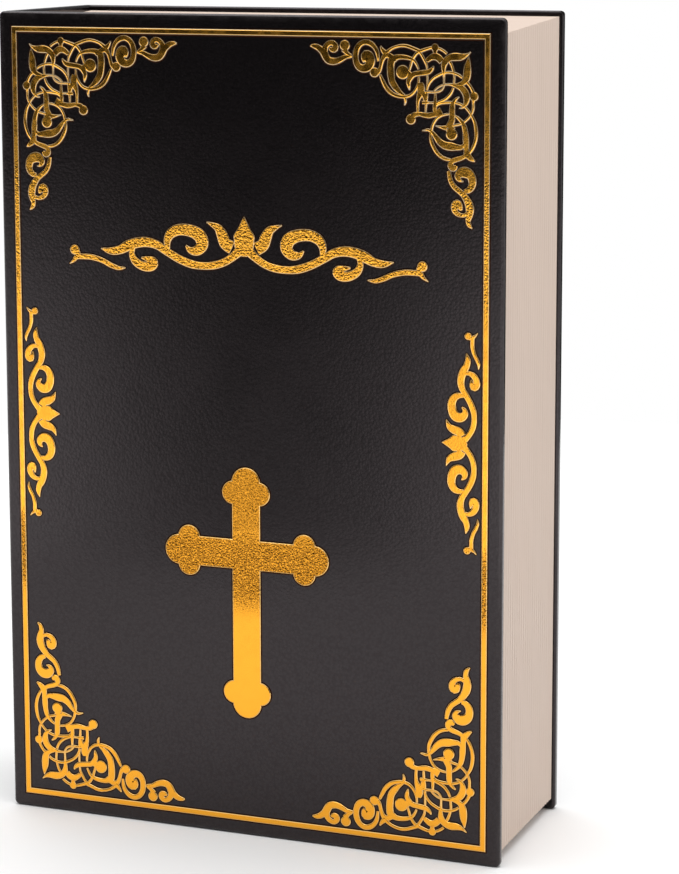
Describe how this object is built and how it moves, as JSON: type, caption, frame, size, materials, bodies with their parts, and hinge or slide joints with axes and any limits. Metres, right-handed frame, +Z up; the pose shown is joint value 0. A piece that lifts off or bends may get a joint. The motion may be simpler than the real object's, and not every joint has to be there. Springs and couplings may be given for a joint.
{
  "type": "book diversion safe",
  "caption": "Diversion safe shaped as a bound book: a hinged cover over a steel lockbox set in a moulded page frame, with a cam-locked lid.",
  "frame": {"origin": "centre of the bottom of the closed book, on the plane of the covers' tail edges", "axes": "+Z up the height of the book, -Y out of the front cover, -X out of the spine"},
  "size_m": [0.155, 0.057, 0.24],
  "materials": {
    "leathercloth": "charcoal grained leathercloth",
    "greyboard": "grey binder's board",
    "endpaper": "black uncoated lining paper",
    "gold_foil": "hot-stamped gold foil with a crinkled face",
    "page_plastic": "cream moulded plastic with fine grooves like leaves",
    "black_steel": "black satin powder coat on folded sheet",
    "plated_steel": "zinc plate",
    "lock_chrome": "polished chrome plate",
    "plug_metal": "dark satin die-cast face",
    "wafer_brass": "stamped brass"
  },
  "bodies": {
    "case": {"case_wrap": "leathercloth", "spine_board": "greyboard", "back_board": "greyboard", "page_frame": "page_plastic", "backing_pad": "greyboard", "strongbox": "black_steel", "rivet_1": "plated_steel", "rivet_2": "plated_steel", "rivet_3": "plated_steel", "rivet_4": "plated_steel", "hinge_leaf_box": "black_steel", "hinge_pin": "plated_steel"},
    "front_cover": {"front_cover_wrap": "leathercloth", "front_board": "greyboard", "front_endpaper": "endpaper", "foil_border": "gold_foil", "foil_cross": "gold_foil"},
    "lid": {"lid": "black_steel", "hinge_leaf_lid": "black_steel", "lock_housing": "lock_chrome", "lock_washer": "plated_steel", "lock_nut": "plated_steel"},
    "lock_barrel": {"lock_plug": "plug_metal", "wafer_1": "wafer_brass", "wafer_2": "wafer_brass", "wafer_3": "wafer_brass", "wafer_4": "wafer_brass", "lock_cam": "plated_steel", "cam_washer": "plated_steel", "cam_screw": "plated_steel"}
  },
  "joints": [
    {"name": "cover_hinge", "type": "hinge", "parent": "case", "child": "front_cover", "pos_m": [-0.07765, -0.0255, 0.12], "axis": [0, 0, -1], "range_deg": [0, 180]},
    {"name": "lid_hinge", "type": "hinge", "parent": "case", "child": "lid", "pos_m": [-0.0666, -0.02115, 0.12], "axis": [0, 0, -1], "range_deg": [0, 108]},
    {"name": "lock_turn", "type": "hinge", "parent": "lid", "child": "lock_barrel", "pos_m": [0.053, -0.02, 0.12], "axis": [0, 1, 0], "range_deg": [0, 90]}
  ],
  "couplings": [
    {"joint": "lid_hinge", "follows": "cover_hinge", "ratio": 0.6}
  ]
}
